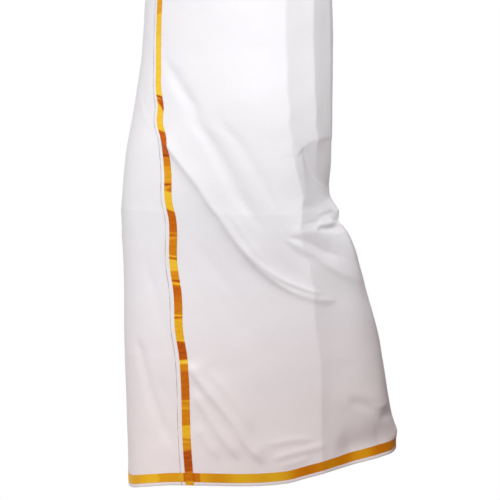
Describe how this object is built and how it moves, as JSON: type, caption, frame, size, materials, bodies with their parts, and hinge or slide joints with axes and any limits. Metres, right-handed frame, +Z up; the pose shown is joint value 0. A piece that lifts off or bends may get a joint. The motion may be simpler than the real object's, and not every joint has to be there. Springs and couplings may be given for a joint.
{
  "type": "worn dhoti cloth",
  "caption": "White wrapped lower-body cloth, a tube open at waist and hem and shaped by a walking stride, with gold woven bands along its hem and hanging free end.",
  "frame": {"origin": "centre of the waist opening, at the middle of the waist fold's height, where the wearer holds the cloth up", "axes": "+Z up, -Y towards the wearer's front, +X towards the wearer's left"},
  "size_m": [0.3629, 0.4225, 0.9836],
  "materials": {
    "cotton": "plain-woven bleached cotton, matt with a faint starched sheen",
    "zari": "gold metallic-thread weave, satin metallic sheen"
  },
  "bodies": {
    "root": {"wrap_front": "cotton", "wrap_left": "cotton", "wrap_back": "cotton", "wrap_right": "cotton", "wrap_underlap": "cotton", "waist_fold": "cotton", "zari_end": "zari", "zari_hem_front": "zari", "zari_hem_left": "zari", "zari_hem_back": "zari", "zari_hem_right": "zari"}
  },
  "joints": []
}
